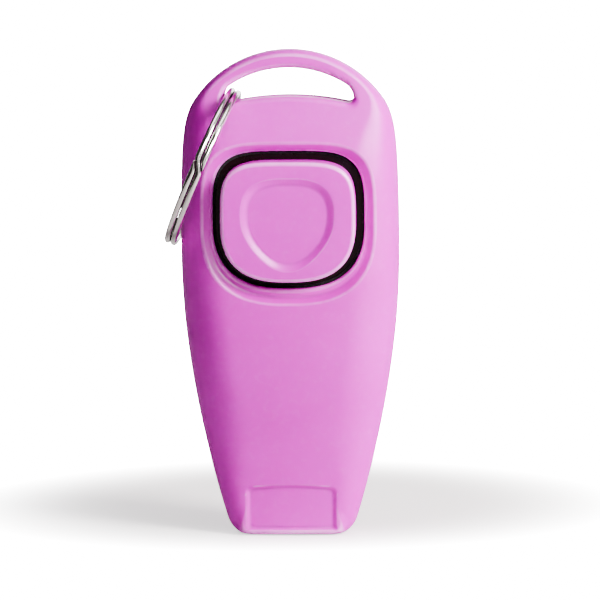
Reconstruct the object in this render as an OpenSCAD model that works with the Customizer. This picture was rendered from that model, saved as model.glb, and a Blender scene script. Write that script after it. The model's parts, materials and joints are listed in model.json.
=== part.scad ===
// Training clicker with a built-in whistle, on a split ring.
// Frame: millimetres, +Z up along the body, front face towards -Y, +X to the right
// seen from the front. Origin: middle of the mouthpiece end, on the parting plane.
// The two shells part on the plane y = 0.

/* [Body] */
// Length from the mouthpiece end to the top of the lanyard arch
body_l = 80; // [79.5:0.5:81]
// Greatest width, across the button
body_w = 36; // [36:0.2:37]
// Depth of the front half at its crown
front_h = 7.8; // [7.8:0.1:8.2]
// Depth of the back half, to its flat
back_h = 5.6; // [5.6:0.1:5.8]
// Shell wall thickness
wall = 1.7; // [1.6:0.05:1.7]
// Radius of the lanyard arch
arch_r = 18.7; // [18.5:0.1:18.9]
// Width of the arch's band
arch_band = 2.95; // [2.8:0.05:2.95]

/* [Button] */
// Button width
button_w = 21.9; // [21.5:0.1:22.1]
// Button height
button_l = 19.6; // [19.3:0.1:19.9]
// Gap between the button and its opening
button_gap = 1.5; // [1.4:0.1:1.7]
// Height of the button's centre above the mouthpiece end
button_z = 52.6; // [52.3:0.1:52.7]
// How far the button's face stands in front of the parting plane
button_face = 9.9; // [9.6:0.05:10.1]
// Button travel
button_travel = 1.6; // [1.2:0.1:1.6]
// Depth of the dished surround at the opening
dish_depth = 0.85; // [0.5:0.05:0.95]
// Depth of the thumb dimple
dimple_depth = 0.5; // [0.3:0.05:0.6]

/* [Click mechanism] */
// Thickness of the spring-steel click blade
blade_t = 0.3; // [0.2:0.05:0.3]
// Width of the click blade at its root
blade_w = 7.8; // [7:0.1:7.8]
// Return spring wire diameter
spring_wire = 0.4; // [0.3:0.05:0.4]
// Return spring mean coil radius
spring_r = 1.5; // [1.45:0.05:1.5]
// Active turns in each return spring
spring_turns = 5; // [4:0.5:5]

/* [Whistle] */
// Width of the windway
windway_w = 8.4; // [7:0.2:8.6]
// Height of the windway
windway_h = 0.9; // [0.7:0.1:0.9]
// Height above the mouthpiece end at which the sound window starts
window_z = 11; // [10.8:0.1:11.2]
// Length of the sound window, up to the labium edge
window_l = 4; // [3.4:0.2:4.2]

/* [Split ring] */
// Outside diameter
ring_od = 27.6; // [27.4:0.1:27.8]
// Thickness of one coil
ring_t = 1.05; // [0.95:0.05:1.05]
// Radial width of the wire
ring_b = 1.2; // [1.0:0.05:1.2]
// Lean of the hanging ring from the vertical, in degrees
ring_lean = 23.5; // [23.5:0.5:25]
// Turn of the hanging ring about its own height, front half outwards, in degrees
ring_turn = 2; // [0:0.5:2]

/* [Hidden] */

widest_z = 48;          // height of the greatest width
arch_z = body_l - arch_r;
mouth_f = 3.9;          // depth of the front half at the mouthpiece
mouth_b = 3.5;          // depth of the back half at the mouthpiece
arch_f = 3.1;           // depth of the front half at the arch
arch_b = 2.9;           // depth of the back half at the arch
end_trim = 0.3;          // how much of the rolled end is cut away to leave a flat to stand on
cav_top = 69.3;         // top of the hollow, under the lanyard slot
ceiling = 5.0;          // inside face of the front shell behind the button
floor_y = back_h - wall;
gasket_y = 4.6;         // front face of the button's flange
flange_t = 1.0;
frame_y = gasket_y - flange_t - button_travel;  // front face of the click frame, where the flange lands
frame_t = 1.2;
frame_back = frame_t - frame_y;                 // back face of the click frame
pad_t = 0.5;
blade_y = frame_back + pad_t;                   // front face of the click blade
blade_z0 = 39.6;
blade_z1 = 57;
clamp_z = 43.3;
open_a = button_w / 2 + button_gap;
open_b = button_l / 2 + button_gap;
dish_a = open_a + 2.0;
dish_b = open_b + 2.15;
dish_z = button_z - 0.5;   // the surround sits a little low round the button
slot_r = 17.6;             // radius of the lanyard slot's upper edge
slot_l = 21.2;             // length of the lanyard slot
guide_x = 7.0;
shell_screw_at = [[-13.2, 64], [13.2, 64], [-11, 33], [11, 33]];
frame_screw_at = [[-7.5, button_z + 14.6], [7.5, button_z + 14.6], [-7.5, button_z - 14.6], [7.5, button_z - 14.6]];
blade_screw_at = [[-2.3, 41.4], [2.3, 41.4]];
pink = [0.87, 0.45, 0.78];
black = [0.05, 0.05, 0.055];
steel = [0.78, 0.79, 0.8];

// ---------- maths ----------
function step01(a, b, x) = let (t = min(1, max(0, (x - a) / (b - a)))) t * t * (3 - 2 * t);
function smin(a, b, k) = let (h = max(k - abs(a - b), 0) / k) min(a, b) - h * h * k / 4;
function sgn(x) = x < 0 ? -1 : 1;

// Half width of the body's side line at height z
function side_w(z) = body_w / 2 + 0.1 - (z < widest_z ? 8.1 * pow((widest_z - z) / widest_z, 1.88) : 0.0017 * pow(z - widest_z, 2));
function side_cos(z) = 1 / sqrt(1 + pow(0.317 * pow(max(0, widest_z - z) / widest_z, 0.88), 2));
// Distance inwards from the sides and arch, and from the whole outline
function side_d(x, z) = smin(arch_r - norm([x, max(0, z - arch_z)]), (side_w(z) - abs(x)) * side_cos(z), 1.5);
function edge_d(x, z) = smin(side_d(x, z), z + end_trim, 3.8);

// Depth of the front and back at height z, on the centre line
function front_y(z) = mouth_f + (front_h - mouth_f) * step01(2, 36, z) - (front_h - arch_f) * step01(58, 79, z);
function back_y(z) = mouth_b + (back_h - mouth_b) * step01(0, 22, z) - (back_h - arch_b) * step01(66, 79, z);
// How far in from the outline the edge roll reaches
function roll(x, z, low, high) =
    let (d1 = side_d(x, z), w = step01(-1.5, 1.5, z - d1),
         side = low + (high - low) * step01(0, 22, z) * (1 - step01(60, 73, z)) - (low - 1.1) * step01(66, 75, z))
    1.0 + (side - 1.0) * w;
function profile(q) = pow(max(0, 1 - pow(max(0, 1 - q), 2.2)), 1 / 2.2);

// Superellipse of the button family, squarer at the top than at the bottom
function squircle_n(z) = z >= 0 ? 4 : 2.6;
function squircle_s(x, z, a, b) = let (n = squircle_n(z)) pow(pow(abs(x) / a, n) + pow(abs(z) / b, n), 1 / n);
function squircle(a, b, count = 72) = [for (i = [0:count - 1])
    let (t = 360 * i / count, c = cos(t), s = sin(t), k = 1 / squircle_s(c, s, a, b)) [c * k, button_z + s * k]];

function crown(x, z) = (0.4 + 1.1 * (1 - step01(33, 46, z))) * pow(x / 18, 2);
function dish(x, z) = dish_depth * (1 - step01(0.87, 1.0, squircle_s(x, z - dish_z, dish_a, dish_b)));
function front_surface(x, z) =
    let (q = edge_d(x, z) / roll(x, z, 3.2, 8)) q <= 0 ? 0 : (front_y(z) - crown(x, z)) * profile(q) - dish(x, z);
function back_surface(x, z) =
    let (q = edge_d(x, z) / roll(x, z, 2.6, 6)) q <= 0 ? 0 : (back_y(z) + 0.25 * (1 - pow(x / 12, 2)) * step01(12, 24, z) * (1 - step01(62, 70, z))) * profile(q);
function front_inside(x, z) =
    let (q = (edge_d(x, z) - wall) / max(0.8, roll(x, z, 3.2, 8) - wall)) q <= 0 ? 0 : (front_y(z) - wall - crown(x, z)) * profile(q);
function back_inside(x, z) =
    let (q = (edge_d(x, z) - wall) / max(0.8, roll(x, z, 2.6, 6) - wall)) q <= 0 ? 0 : (back_y(z) - wall) * profile(q);

// Distance along a ray from the button's centre to the line that is inset from the outline
function reach(c, s, inset, lo = 8, hi = 60, n = 22) =
    n == 0 ? (lo + hi) / 2
    : let (m = (lo + hi) / 2) edge_d(c * m, button_z + s * m) > inset ? reach(c, s, inset, m, hi, n - 1) : reach(c, s, inset, lo, m, n - 1);
function rays(count) = [for (i = [0:count - 1])
    let (t = 360 * i / count, v = [19 * cos(t), 40 + 40 * sin(t) - button_z]) v / norm(v)];
function outline(inset, count = 112) = [for (v = rays(count)) let (r = reach(v[0], v[1], inset)) [v[0] * r, button_z + v[1] * r]];

// A pillow between the parting plane and a surface: rings round the button's centre, out to the inset outline
module pillow(inset, count, side, which) {
    v = rays(count);
    re = [for (u = v) reach(u[0], u[1], inset)];
    ra = [for (u = v) 1 / squircle_s(u[0], u[1], dish_a, dish_b)];
    inner = which == "front_in" || which == "back_in";
    near = which == "front" ? [0.45, 0.8, 0.87, 0.915, 0.955, 1.0] : [0.5, 1.0];
    far = inner ? [14, 28, 41, 53, 63, 72, 80, 86] : [9, 20, 31, 41, 50, 58, 65, 71, 76.5, 81, 85, 88];
    rings = concat([for (f = near) [for (i = [0:count - 1]) ra[i] * f]],
                   [for (a = far) [for (i = [0:count - 1]) ra[i] + (re[i] - ra[i]) * sin(a)]]);
    nr = len(rings);
    function h(x, z) = which == "front" ? front_surface(x, z) : which == "back" ? back_surface(x, z)
        : which == "front_in" ? front_inside(x, z) : back_inside(x, z);
    pts = concat(
        [for (r = rings) for (i = [0:count - 1])
            let (x = v[i][0] * r[i], z = button_z + v[i][1] * r[i]) [x, side * max(0.01, h(x, z)), z]],
        [for (i = [0:count - 1]) [v[i][0] * re[i], 0, button_z + v[i][1] * re[i]]],
        [[0, side * h(0, button_z), button_z]]);
    last = nr * count;
    tip = last + count;
    f = concat(
        [for (i = [0:count - 1]) [tip, i, (i + 1) % count]],
        [for (j = [0:nr - 1]) for (i = [0:count - 1])
            let (a = j * count + i, b = j * count + (i + 1) % count, c = a + count, d = b + count) each [[a, c, b], [b, c, d]]],
        [[for (i = [count - 1:-1:0]) last + i]]);
    polyhedron(side < 0 ? [for (p = pts) p] : pts, side < 0 ? [for (t = f) [for (k = [len(t) - 1:-1:0]) t[k]]] : f, convexity = 6);
}

// ---------- helpers ----------
// A 2D shape drawn in x and z, filling y0 to y1
module across(y0, y1) translate([0, y1, 0]) rotate([90, 0, 0]) linear_extrude(y1 - y0) children();
// A 2D shape drawn in y and z, filling x0 to x1
module along_x(x0, x1) translate([x0, 0, 0]) multmatrix([[0, 0, 1, 0], [1, 0, 0, 0], [0, 1, 0, 0], [0, 0, 0, 1]]) linear_extrude(x1 - x0) children();
// A round rod along y
module rod(at, y0, y1, r, fn = 40) translate([at[0], y1, at[1]]) rotate([90, 0, 0]) cylinder(r = r, h = y1 - y0, $fn = fn);
module box(x, y, z) translate([x[0], y[0], z[0]]) cube([x[1] - x[0], y[1] - y[0], z[1] - z[0]]);
module button_shape(grow = 0) polygon(squircle(button_w / 2 + grow, button_l / 2 + grow));
module cavity_2d() intersection() { polygon(outline(wall, 72)); translate([-30, 0]) square([60, cav_top]); }
module slot_2d(grow = 0) offset(r = 1.1 + grow, $fn = 24) offset(delta = -1.1) intersection() {
    difference() {
        translate([0, body_l - arch_band - slot_r]) circle(r = slot_r, $fn = 150);
        translate([0, 72.45 - 45]) circle(r = 45, $fn = 300);
    }
    translate([-slot_l / 2, 60]) square([slot_l, 30]);
}
// Forces one mesh for the shells' sculpted skin, which has no true curves to keep
module as_mesh() resize([0, 0, 0]) children();

// Walls that locate the whistle block, on the side of the given sign
module whistle_pocket(side) {
    function skin(z) = 0.8 + (side < 0 ? front_inside(6.7, z) : back_inside(6.7, z));
    zs = [2.2, 3.5, 6, 9, 13, 17, 22, 27.2];
    for (m = [-1, 1]) along_x(m * 6.65 - 0.5, m * 6.65 + 0.5)
        polygon(concat([[side * 0.06, 1.2]], [for (z = zs) [side * skin(z), z]], [[side * 0.06, 27.2]]));
    box([-6.6, 6.6], side < 0 ? [-skin(26.2), -0.12] : [0.12, skin(26.2)], [26.2, 27.0]);
}

// Clearance for the whistle block in both shells
module whistle_room() {
    box([-6.08, 6.08], [-2.08, 1.83], [2.52, window_z + 0.5]);
    box([-6.08, 6.08], [-2.73, 2.38], [window_z - 0.08, 26.1]);
}

module slot_cut() {
    across(-12, 12) slot_2d();
    across(-12, -2.6) slot_2d(0.5);
    across(2.6, 12) slot_2d(0.5);
}

// ---------- shells ----------
module front_shell() {
    color(pink) difference() {
        as_mesh() union() {
            difference() {
                pillow(0, 112, -1, "front");
                intersection() {
                    pillow(wall, 72, -1, "front_in");
                    box([-30, 30], [-ceiling, 1], [0, cav_top]);
                }
                across(-20, -2) button_shape(button_gap);
                // room for the flange and the gasket
                across(-ceiling, -0.5) button_shape(button_gap + 1.2);
                whistle_room();
                slot_cut();
                // shallow flat for the lips
                along_x(-7.6, 7.6) polygon([[-12, 1.0], [-3.35, 1.0], [-3.45, 3], [-3.6, 8.0], [-12, 8.4]]);
            }
            for (p = shell_screw_at) rod(p, -4.9, 0, 2.1, 32);
            for (p = frame_screw_at) rod(p, -5.3, -frame_y, 1.6, 32);
            whistle_pocket(-1);
            // locating lip, standing into the back shell
            across(-0.4, 0.7) intersection() {
                difference() { offset(delta = 0.85) cavity_2d(); offset(delta = 0.1) cavity_2d(); }
                translate([-30, 4]) square([60, 80]);
            }
        }
        for (p = shell_screw_at) rod(p, -4.4, 1, 1.2);
        for (p = frame_screw_at) rod(p, -4.6, -1, 0.85);
        box([-30, 30], [-15, 1], [-5, 0]);
    }
}

module back_shell() {
    color(pink) difference() {
        as_mesh() difference() {
            union() {
                difference() {
                    pillow(0, 112, 1, "back");
                    intersection() {
                        pillow(wall, 72, 1, "back_in");
                        box([-30, 30], [-1, floor_y], [0, cav_top]);
                    }
                }
                for (p = shell_screw_at) rod(p, 0, 4.45, 2.4, 32);
                whistle_pocket(1);
                // seat for the seal round the sound window
                box([-6.3, 6.3], [2.8, 4.2], [9.8, 26.3]);
            }
            // rebate for the front shell's lip
            across(-1, 0.8) intersection() {
                difference() { offset(delta = 0.93) cavity_2d(); offset(delta = -0.35) cavity_2d(); }
                translate([-30, 3.9]) square([60, 80]);
            }
            slot_cut();
            whistle_room();
            box([-6.08, 6.08], [-1, 2.8], [9.8, 26.1]);
        }
        box([-30, 30], [-1, 15], [-5, 0]);
        // true flat that the object rests on
        box([-30, 30], [back_h, 12], [-5, 90]);
        // mouth of the windway
        box([-4.7, 4.7], [0.15, 1.55], [-1, 2.75]);
        // sound window with its sloped far wall
        along_x(-4.8, 4.8) polygon([[2, window_z - 0.1], [9, window_z - 0.1], [9, 33.86], [2.75, 19.4], [2, 19.4]]);
        for (p = shell_screw_at) {
            rod(p, -1, 8, 1.35);
            rod(p, 3.6, 9, 2.1);
        }
    }
}

// ---------- fasteners ----------
// Pan-head self-tapping screw along y, its head at the +y end
module screw(at, seat, tip, r, head_r, head_h) {
    difference() {
        union() {
            rod(at, tip + r, seat + 0.01, r);
            translate([at[0], tip + r, at[1]]) rotate([90, 0, 0]) cylinder(r1 = r, r2 = r * 0.3, h = r, $fn = 40);
            rod(at, seat, seat + head_h * 0.6, head_r);
            translate([at[0], seat + head_h, at[1]]) rotate([90, 0, 0]) cylinder(r1 = head_r * 0.72, r2 = head_r, h = head_h * 0.4, $fn = 40);
        }
        for (a = [0, 90]) translate([at[0], seat + head_h, at[1]]) rotate([0, a, 0])
            cube([head_r * 1.15, head_h * 1.2, head_r * 0.26], center = true);
    }
}
module shell_screws() color(steel) for (p = shell_screw_at) screw(p, 3.62, -4.1, 1.1, 1.9, 1.3);
module frame_screws() color(steel) for (p = frame_screw_at) screw(p, frame_back + 0.01, -4.5, 0.8, 1.45, 1.0);
module blade_screws() color(steel) for (p = blade_screw_at) screw(p, blade_y + blade_t + 0.72, -1.8, 0.5, 1.15, 0.7);

// ---------- button ----------
module button_cap() {
    color(pink) difference() {
        union() {
            across(-button_face + 0.45, -gasket_y - 0.15) button_shape();
            hull() {
                across(-button_face + 0.45, -button_face + 0.47) button_shape();
                across(-button_face + 0.12, -button_face + 0.14) button_shape(-0.34);
            }
            across(-button_face, -button_face + 0.12) button_shape(-0.9);
        }
        across(-8.15, 0) button_shape(-1.5);
        // thumb dimple: a shield, wide at the top
        across(-button_face - 1, -button_face + dimple_depth) thumb_2d();
    }
}
function thumb_r(t) = let (c = cos(t), s = sin(t)) s >= 0
    ? 1 / pow(pow(abs(c) / 7.2, 2.6) + pow(abs(s) / 6.6, 2.6), 1 / 2.6)
    : 1 / pow(pow(abs(c) / 7.2, 1.8) + pow(abs(s) / 7.7, 1.8), 1 / 1.8);
module thumb_2d() polygon([for (i = [0:59]) let (t = 6 * i) [cos(t) * thumb_r(t), button_z + 0.1 + sin(t) * thumb_r(t)]]);

module button_carrier() {
    color(black) difference() {
        union() {
            difference() {
                union() {
                    across(-gasket_y + 0.02, -gasket_y + flange_t) polygon(squircle(open_a + 0.9, open_b + 0.9));
                    across(-8.1, -gasket_y + 0.1) button_shape(-1.6);
                }
                for (m = [-1, 1]) rod([m * guide_x, button_z], -6.2, 0, 1.95);
            }
            for (m = [-1, 1]) rod([m * guide_x, button_z], -6.3, 0.5, 1.0);
        }
        rod([0, button_z], -6.8, 0, 1.5);
    }
}

module button_gasket() color(black) across(-ceiling + 0.02, -gasket_y) difference() {
    polygon(squircle(open_a + 0.85, open_b + 0.85));
    polygon(squircle(open_a - 0.5, open_b - 0.5));
}

module plunger_pin() color([0.93, 0.92, 0.88]) {
    rod([0, button_z], -6.75, blade_y - 0.55, 1.48);
    translate([0, blade_y - 0.1, button_z]) rotate([90, 0, 0]) cylinder(r1 = 0.95, r2 = 1.48, h = 0.45, $fn = 40);
}

// Coil along +y from its seat, with closed flat-pitched ends
module coil(r, wire, len, turns, per = 18, sides = 6) {
    n = (turns + 2) * per;
    function at(i) = let (k = i / per) k < 1 ? wire / 2 + 0.06 * k
        : k > turns + 1 ? len - wire / 2 - 0.06 * (turns + 2 - k)
        : wire / 2 + 0.06 + (len - wire - 0.12) * (k - 1) / turns;
    pts = [for (i = [0:n]) for (j = [0:sides - 1])
        let (a = 360 * i / per, b = 360 * j / sides, q = r + wire / 2 * cos(b)) [q * cos(a), at(i) + wire / 2 * sin(b), q * sin(a)]];
    faces = concat([[for (j = [0:sides - 1]) j]],
        [for (i = [0:n - 1]) for (j = [0:sides - 1])
            let (a = i * sides + j, b = i * sides + (j + 1) % sides) each [[a, a + sides, b], [b, a + sides, b + sides]]],
        [[for (j = [sides - 1:-1:0]) n * sides + j]]);
    polyhedron(pts, faces, convexity = 10);
}
spring_y0 = -6.15;
module return_spring(m) color(steel) translate([m * guide_x, spring_y0, button_z])
    coil(spring_r, spring_wire, -frame_y - 0.05 - spring_y0, spring_turns - 2 + 0.5);
module return_spring_left() return_spring(-1);
module return_spring_right() return_spring(1);

// ---------- click mechanism ----------
module click_frame() {
    color(black) difference() {
        union() {
            across(-frame_y, frame_back) offset(r = 1.5, $fn = 24) offset(delta = -1.5)
                translate([-10.7, button_z - 16.4]) square([21.4, 32.8]);
            for (m = [-1, 1]) rod([m * guide_x, button_z], -frame_y + 0.1, 0.6, 1.7);
            box([-4.4, 4.4], [frame_back - 0.1, blade_y], [39.4, clamp_z + 0.1]);
        }
        for (m = [-1, 1]) rod([m * guide_x, button_z], -6, 6, 1.05);
        rod([0, button_z], -6, 6, 2.2);
        for (p = frame_screw_at) rod(p, -6, 6, 1.0);
        for (p = blade_screw_at) rod(p, -6, 6, 0.55);
    }
}

module click_blade() {
    bump_z = 47.6;
    color([0.62, 0.64, 0.67]) difference() {
        union() {
            across(blade_y, blade_y + blade_t) polygon([[-blade_w / 2, blade_z0], [blade_w / 2, blade_z0], [blade_w / 2, clamp_z],
                [blade_w / 2 - 0.7, blade_z1 - 0.8], [blade_w / 2 - 1.5, blade_z1], [1.5 - blade_w / 2, blade_z1],
                [0.7 - blade_w / 2, blade_z1 - 0.8], [-blade_w / 2, clamp_z]]);
            intersection() {
                translate([0, blade_y + blade_t + 0.35 - 7.1, bump_z]) sphere(r = 7.1, $fn = 96);
                rod([0, bump_z], blade_y + 0.1, 3, 2.6);
            }
        }
        intersection() {
            translate([0, blade_y + 0.35 - 7.1, bump_z]) sphere(r = 7.1, $fn = 96);
            rod([0, bump_z], blade_y - 1, 3, 2.6);
        }
        for (p = blade_screw_at) rod(p, -2, 2, 0.7);
    }
}

module blade_clamp() color(steel) difference() {
    box([-3.9, 3.9], [blade_y + blade_t, blade_y + blade_t + 0.7], [blade_z0, clamp_z]);
    for (p = blade_screw_at) rod(p, -2, 2, 0.7);
}

module click_cover() {
    color(black) difference() {
        box([-5.2, 5.2], [frame_back, floor_y - 0.05], [38.6, 59.6]);
        box([-4.6, 4.6], [frame_back - 1, floor_y - 0.65], [39.2, 59.0]);
        for (z = [46, 49, 52, 55]) rod([0, z], 2, 6, 0.7);
    }
}

// ---------- whistle ----------
module whistle_block() {
    labium_z = window_z + window_l;
    color(pink) difference() {
        union() {
            box([-6, 6], [-2.0, 1.75], [2.6, window_z + 0.1]);
            box([-6, 6], [-2.65, 2.3], [window_z, 26]);
        }
        // windway
        box([-windway_w / 2, windway_w / 2], [0.4, 0.4 + windway_h], [1, window_z + 0.2]);
        // chamber, its roof thinned to the labium edge
        along_x(-4.8, 4.8) polygon([[-2.0, window_z + 0.01], [1.5, window_z + 0.01], [1.5, 24.8], [-2.0, 24.8]]);
        // window
        box([-windway_w / 2, windway_w / 2], [0.3, 4], [window_z + 0.01, labium_z]);
        along_x(-windway_w / 2, windway_w / 2) polygon([[1.0, labium_z - 0.01], [3, labium_z - 0.01], [3, 20.2], [1.62, 16.8], [1.5, 16.8]]);
    }
}

module whistle_seal() color(black) across(2.32, 2.78) difference() {
    translate([-6, 9.9]) square([12, 16.1]);
    translate([-4.85, window_z - 0.1]) square([9.7, 8.5]);
}

// ---------- split ring ----------
// Two coils of flat wire: one layer, a joggle, then the other layer. The wire's centre line passes through the slot at ring_top.
ring_r = (ring_od - ring_b) / 2;
ring_top = [-8.9, 0, 72.9];
module split_ring() {
    per = 66;
    t0 = 6;      // start of the first coil, in degrees past the joggle's middle
    t1 = 714;     // end of the second
    n = ceil((t1 - t0) / 360 * per);
    joggle = 5;   // half the arc in which the wire changes layer
    function layer(t) = (step01(360 - joggle, 360 + joggle, t) - 0.5) * (ring_t + 0.03);
    sec = [[-1, -0.45], [-0.5, -1], [0.5, -1], [1, -0.45], [1, 0.45], [0.5, 1], [-0.5, 1], [-1, 0.45]];
    ns = len(sec);
    front = 84;   // where the joggle sits, as an angle from the top of the ring towards the front
    pts = [for (i = [0:n]) for (q = sec)
        let (t = t0 + (t1 - t0) * i / n, a = front + t, r = ring_r + q[0] * ring_b / 2)
        [layer(t) + q[1] * ring_t / 2, -r * sin(a), r * cos(a)]];
    faces = concat([[for (j = [0:ns - 1]) j]],
        [for (i = [0:n - 1]) for (j = [0:ns - 1])
            let (a = i * ns + j, b = i * ns + (j + 1) % ns) each [[a, a + ns, b], [b, a + ns, b + ns]]],
        [[for (j = [ns - 1:-1:0]) n * ns + j]]);
    color(steel) translate(ring_top) rotate([0, ring_lean, 0]) rotate([0, 0, -ring_turn]) translate([0, 0, -ring_r]) polyhedron(pts, faces, convexity = 10);
}

front_shell();
back_shell();
shell_screws();
button_cap();
button_carrier();
button_gasket();
plunger_pin();
return_spring_left();
return_spring_right();
click_frame();
frame_screws();
click_blade();
blade_clamp();
blade_screws();
click_cover();
whistle_block();
whistle_seal();
split_ring();
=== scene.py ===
import bpy
import json
import math
import numpy as np
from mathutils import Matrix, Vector


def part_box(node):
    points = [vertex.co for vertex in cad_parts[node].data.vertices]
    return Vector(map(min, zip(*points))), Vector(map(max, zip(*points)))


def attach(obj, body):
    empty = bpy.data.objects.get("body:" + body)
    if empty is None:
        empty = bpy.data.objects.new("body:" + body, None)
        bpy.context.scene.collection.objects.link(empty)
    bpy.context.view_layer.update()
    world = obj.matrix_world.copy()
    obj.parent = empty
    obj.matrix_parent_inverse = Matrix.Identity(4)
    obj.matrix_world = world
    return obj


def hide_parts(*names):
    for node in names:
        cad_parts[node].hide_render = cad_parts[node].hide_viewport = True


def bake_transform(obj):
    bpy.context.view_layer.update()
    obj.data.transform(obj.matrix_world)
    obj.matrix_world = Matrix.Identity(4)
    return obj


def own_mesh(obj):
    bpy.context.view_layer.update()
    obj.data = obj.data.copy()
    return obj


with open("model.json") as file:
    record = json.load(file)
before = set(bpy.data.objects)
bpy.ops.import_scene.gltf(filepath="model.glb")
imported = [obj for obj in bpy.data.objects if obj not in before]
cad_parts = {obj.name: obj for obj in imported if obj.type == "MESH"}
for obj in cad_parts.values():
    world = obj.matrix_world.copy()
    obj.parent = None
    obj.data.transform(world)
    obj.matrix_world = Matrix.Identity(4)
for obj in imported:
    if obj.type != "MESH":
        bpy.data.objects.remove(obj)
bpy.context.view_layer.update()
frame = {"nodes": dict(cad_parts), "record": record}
rec = frame["record"]
nodes = frame["nodes"]
MM = 0.001


def mm(v):
    return np.array([c / MM for c in v])


def node_box(name):
    lo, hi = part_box(name)
    return mm(lo), mm(hi)


# ---------------------------------------------------------------- measures read from the frame
fs_lo, fs_hi = node_box("front_shell")
bs_lo, bs_hi = node_box("back_shell")
bc_lo, bc_hi = node_box("button_cap")
ca_lo, ca_hi = node_box("button_carrier")
ga_lo, ga_hi = node_box("button_gasket")
ri_lo, ri_hi = node_box("split_ring")
wb_lo, wb_hi = node_box("whistle_block")
ws_lo, ws_hi = node_box("whistle_seal")
cf_lo, cf_hi = node_box("click_frame")
bl_lo, bl_hi = node_box("click_blade")
joint = {j["name"]: j for j in rec["behaviour"]["joints"]}
mount = {m["name"]: m for m in rec["mounts"]}

LEN = fs_hi[2]                      # length of the body
HALF = (fs_hi[0] - fs_lo[0]) / 2    # half of its greatest width
BACK = bs_hi[1]                     # flat of the back
FACE = -bc_lo[1]                    # face of the button
BUT_A = (bc_hi[0] - bc_lo[0]) / 2
BUT_B = (bc_hi[2] - bc_lo[2]) / 2
BUT_Z = (bc_hi[2] + bc_lo[2]) / 2
GAP = (ca_hi[0] - ca_lo[0]) / 2 - 1.05 - BUT_A
CEIL = -ga_lo[1] + 0.02             # inside of the front shell behind the button
FRONT = 7.8
ARCH_R = 18.7
ARCH_Z = LEN - ARCH_R
WALL = 1.7
CAV_TOP = 69.3
WIDEST = 48.0
OPEN_A, OPEN_B = BUT_A + GAP, BUT_B + GAP
DISH_A, DISH_B, DISH_Z = OPEN_A + 2.0, OPEN_B + 2.15, BUT_Z - 0.5


# ---------------------------------------------------------------- field maths
def s01(a, b, x):
    t = np.clip((x - a) / (b - a), 0, 1)
    return t * t * (3 - 2 * t)


def smin(a, b, k):
    h = np.maximum(k - np.abs(a - b), 0) / k
    return np.minimum(a, b) - h * h * k * 0.25


def smax(a, b, k):
    return -smin(-a, -b, k)


def side_w(z):
    low = 8.1 * np.power(np.maximum(0, WIDEST - z) / WIDEST, 1.88)
    high = 0.0017 * np.square(np.maximum(0, z - WIDEST))
    return HALF + 0.04 - low - high


def side_cos(z):
    return 1 / np.sqrt(1 + np.square(0.317 * np.power(np.maximum(0, WIDEST - z) / WIDEST, 0.88)))


def side_d(x, z):
    return smin(ARCH_R - np.hypot(x, np.maximum(0, z - ARCH_Z)), (side_w(z) - np.abs(x)) * side_cos(z), 1.5)


def edge_d(x, z):
    return smin(side_d(x, z), z + 0.3, 3.2)


def roll(x, z, low, high):
    w = s01(-1.5, 1.5, z - side_d(x, z))
    side = low + (high - low) * s01(0, 22, z) * (1 - s01(60, 73, z)) - (low - 1.1) * s01(66, 75, z)
    return 1.0 + (side - 1.0) * w


def front_y(z):
    return 3.9 + (FRONT - 3.9) * s01(2, 36, z) - (FRONT - 3.1) * s01(58, 79, z)


def back_y(z):
    return 3.5 + (BACK - 3.5) * s01(0, 22, z) - (BACK - 2.9) * s01(66, 79, z)


def sq_s(x, z, a, b):
    ax, az = np.abs(x) / a, np.abs(z) / b
    n = np.where(z >= 0, 4.0, 2.6)
    return np.power(np.power(ax, n) + np.power(az, n) + 1e-12, 1 / n)


def crown(x, z):
    return (0.4 + 1.1 * (1 - s01(33, 46, z))) * np.square(x / 18)


def pillow(P, side, inset=0.0):
    """Field of one half's skin, inset by a wall: below zero inside."""
    x, y, z = P[:, 0], P[:, 1] * side, P[:, 2]
    N = 2.2
    if side < 0:
        rl = roll(x, z, 3.2, 8)
        h = front_y(z) - crown(x, z) - inset
        yy = np.abs(y)
        if not inset:
            yy = yy + 0.95 * (1 - s01(0.885, 1.0, sq_s(x, z - DISH_Z, DISH_A, DISH_B)))
    else:
        rl = roll(x, z, 2.6, 6)
        h = back_y(z) - inset
        if not inset:
            h = h + 0.25 * (1 - np.square(x / 12)) * s01(12, 24, z) * (1 - s01(62, 70, z))
        yy = np.abs(y)
    rl = np.maximum(0.8, rl - inset)
    q = (edge_d(x, z) - inset) / rl
    return np.power(np.power(np.maximum(0, 1 - q), N) + np.power(yy / np.maximum(h, 0.5), N) + 1e-9, 1 / N) - 1


def unit(fn, P, e=0.02):
    """fn made into a distance by its own gradient."""
    v = fn(P)
    g = np.zeros(len(P))
    for a in range(3):
        Q = P.copy()
        Q[:, a] += e
        g += np.square((fn(Q) - v) / e)
    return v / np.sqrt(np.maximum(g, 1e-4))


def unit2(fn, x, z, e=0.02):
    v = fn(x, z)
    g = np.square((fn(x + e, z) - v) / e) + np.square((fn(x, z + e) - v) / e)
    return v / np.sqrt(np.maximum(g, 1e-4))


def slot2(x, z):
    """Lanyard slot in x and z, its ends round: below zero inside."""
    r = 1.1
    top = np.hypot(x, z - (LEN - 2.95 - 17.6)) - 17.6 + r
    low = 45 + r - np.hypot(x, z - (72.45 - 45))
    end = np.abs(x) - 10.6 + r
    out = np.sqrt(np.square(np.maximum(top, 0)) + np.square(np.maximum(low, 0)) + np.square(np.maximum(end, 0)))
    return out + np.minimum(np.maximum(np.maximum(top, low), end), 0) - r


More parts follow.
